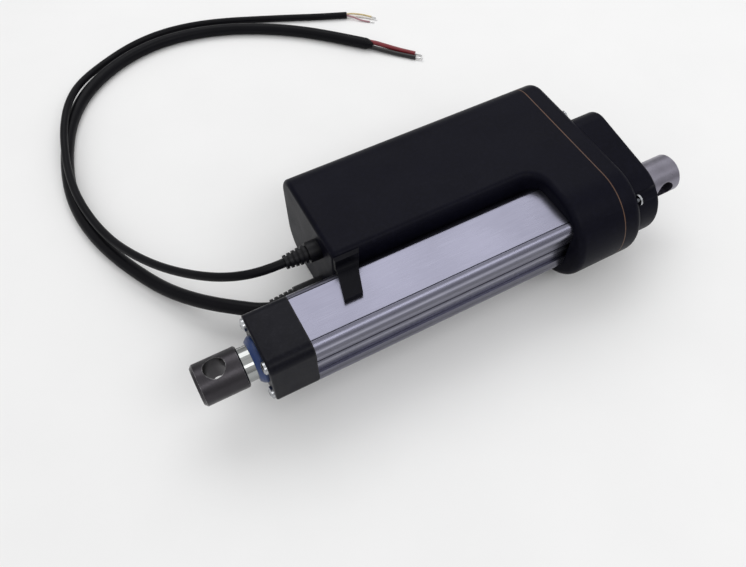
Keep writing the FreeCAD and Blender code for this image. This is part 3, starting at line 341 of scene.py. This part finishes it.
def make_jacket_end():
    """The end of the thick cable's jacket, drawn in around its wires."""
    before, start = (Vector(place) for place in POWER_ROUTE[-2:])
    along, up = (start - before).normalized(), Vector((0, 0, 1))
    across = along.cross(up)
    shape = bmesh.new()
    rings = []
    for ahead, radius in JACKET_END:
        middle = start + along * ahead
        ring = []
        for step in range(JACKET_SIDES):
            turn = step * 2 * math.pi / JACKET_SIDES
            fold = FOLD_DEPTH * max(ahead, 0) * (1 + math.sin(JACKET_FOLDS * turn))
            outward = across * math.cos(turn) + up * math.sin(turn)
            ring.append(shape.verts.new((middle + outward * (radius * (1 - fold))) * MM))
        rings.append(ring)
    for back, front in zip(rings, rings[1:]):
        for step in range(JACKET_SIDES):
            after = (step + 1) % JACKET_SIDES
            shape.faces.new((back[step], back[after], front[after], front[step]))
    shape.faces.new(rings[0][::-1])
    shape.faces.new(rings[-1])
    bmesh.ops.recalc_face_normals(shape, faces=shape.faces)
    mesh = bpy.data.meshes.new("jacket_end")
    shape.to_mesh(mesh)
    shape.free()
    mesh.polygons.foreach_set("use_smooth", [True] * len(mesh.polygons))
    piece = bpy.data.objects.new("jacket_end", mesh)
    scene.collection.objects.link(piece)
    mesh.materials.append(jacket)
    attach(piece, "housing")
    return piece


make_jacket_end()


# ---- dressing the CAD nodes -----------------------------------------------------------------------

dress("outer_tube", anodised("anodised_tube"))
dress("front_cap", black_paint("cap_paint"))
dress("front_cap_gasket", rubber("seam_rubber", (0.008, 0.008, 0.008)))
dress("front_cap_screws rear_cover_screws", zinc("bright_zinc"))
dress("wiper_seal", Shader("blue_wiper", (0.006, 0.03, 0.13), 0.36, size=5)
      .bump(0.7, 0.006).worn_and_highlit_edges((0.03, 0.1, 0.3), 0.5).done())
dress("rod_eye", steel("eye_steel", (0.05, 0.047, 0.052), 0.34))
dress("piston_rod", chrome("rod_chrome"))
dress("gear_housing", black_plastic("housing_plastic"))
dress("rear_cover", black_plastic("cover_plastic", rough=0.39))
dress("cover_clip", black_plastic("clip_plastic", (0.0035, 0.0035, 0.0055), 0.45))
dress("housing_gasket", Shader("gasket_brown", (0.085, 0.035, 0.013), 0.5, size=4, vary=0.3)
      .bump(0.6, 0.01).done())
dress("rear_eye", steel("rear_eye_steel", (0.24, 0.23, 0.275), 0.33))
dress("signal_gland power_gland", rubber("gland_rubber"))
dress("power_wire_red", wire_skin("red_skin", (0.17, 0.008, 0.014)))
dress("power_wire_black", wire_skin("black_skin", (0.005, 0.004, 0.005)))
dress("signal_wire_yellow", wire_skin("yellow_skin", (0.62, 0.5, 0.26)))
dress("signal_wire_white", wire_skin("white_skin", (0.72, 0.7, 0.66)))
dress("signal_wire_pink", wire_skin("pink_skin", (0.38, 0.2, 0.23)))
dress("wire_tips", Shader("tinned", (0.7, 0.7, 0.7), 0.32, 1.0, 0.8, 0.2, 0.2)
      .bump(0.25, 0.02, (0.3, 1, 1)).done())

dress("rod_bush rear_bush drive_nut", bronze("bush_bronze"))
dress("commutator armature_coils", bronze("wound_copper", (0.6, 0.24, 0.1), 0.3))
dress("nut_guide_ring idler_wheel screw_gear", plastic("white_acetal", (0.62, 0.6, 0.54), 0.42))
dress("brush_holder motor_rear_bell", plastic("black_moulding", (0.02, 0.02, 0.021)))
dress("brushes motor_magnets sensor_magnet_ring", plastic("dark_ferrite", (0.035, 0.034, 0.034), 0.6))
dress("position_board", plastic("board_green", (0.01, 0.09, 0.03), 0.35))
dress("nut_key idler_shaft motor_shaft bearing_inner_ring bearing_outer_ring gear_spacer idler_hub "
      "screw_stop_ring", steel("ground_steel", (0.5, 0.5, 0.51), 0.22))
dress("lead_screw motor_pinion idler_pinion armature_core motor_can",
      steel("plain_steel", (0.42, 0.42, 0.43), 0.33))
dress("gear_plate motor_front_bell", steel("cast_alloy", (0.5, 0.5, 0.5), 0.45))
dress("gear_plate_screws motor_bolts bearing_balls", zinc("inner_zinc"))


# ---- stage and light ------------------------------------------------------------------------------

def make_floor():
    mesh = bpy.data.meshes.new("floor")
    corners = ((-1, -1), (1, -1), (1, 1), (-1, 1))
    mesh.from_pydata([(x * FLOOR_HALF_SIZE, y * FLOOR_HALF_SIZE, FLOOR) for x, y in corners],
                     [], [(0, 1, 2, 3)])
    floor = bpy.data.objects.new("floor", mesh)
    scene.collection.objects.link(floor)
    paper = Shader("floor_paper", (0.86, 0.86, 0.86), 0.8, size=60, vary=0.01)
    mesh.materials.append(paper.done(Specular_IOR_Level=0.1))


def area_light(name, place, target, size, power):
    data = bpy.data.lights.new(name, "AREA")
    data.shape = "RECTANGLE"
    data.size, data.size_y = size
    data.energy = power
    light = bpy.data.objects.new(name, data)
    light.location = place
    light.rotation_euler = (Vector(target) - Vector(place)).to_track_quat("-Z", "Y").to_euler()
    scene.collection.objects.link(light)


def make_light():
    """A sky that brightens upwards, and two soft boxes in front and behind."""
    world = bpy.data.worlds.new("studio")
    world.use_nodes = True
    nodes, links = world.node_tree.nodes, world.node_tree.links
    height = nodes.new("ShaderNodeSeparateXYZ")
    links.new(nodes.new("ShaderNodeTexCoord").outputs["Generated"], height.inputs[0])
    glow = nodes.new("ShaderNodeMapRange")
    for socket, number in (("From Min", 0.1), ("From Max", 0.75), ("To Min", 0.42), ("To Max", 0.84)):
        glow.inputs[socket].default_value = number
    links.new(height.outputs["Z"], glow.inputs["Value"])
    nodes["Background"].inputs["Color"].default_value = (1, 1, 1, 1)
    links.new(glow.outputs[0], nodes["Background"].inputs["Strength"])
    scene.world = world
    area_light("softbox_front", (0.2, -1.0, 1.3), (-0.1, 0.05, 0), (1.4, 0.5), 5.4)
    area_light("softbox_back", (0.2, 0.85, 1.25), (-0.15, 0.05, 0), (1.3, 0.9), 6.2)


make_floor()
make_light()
scene.view_settings.view_transform = "Standard"
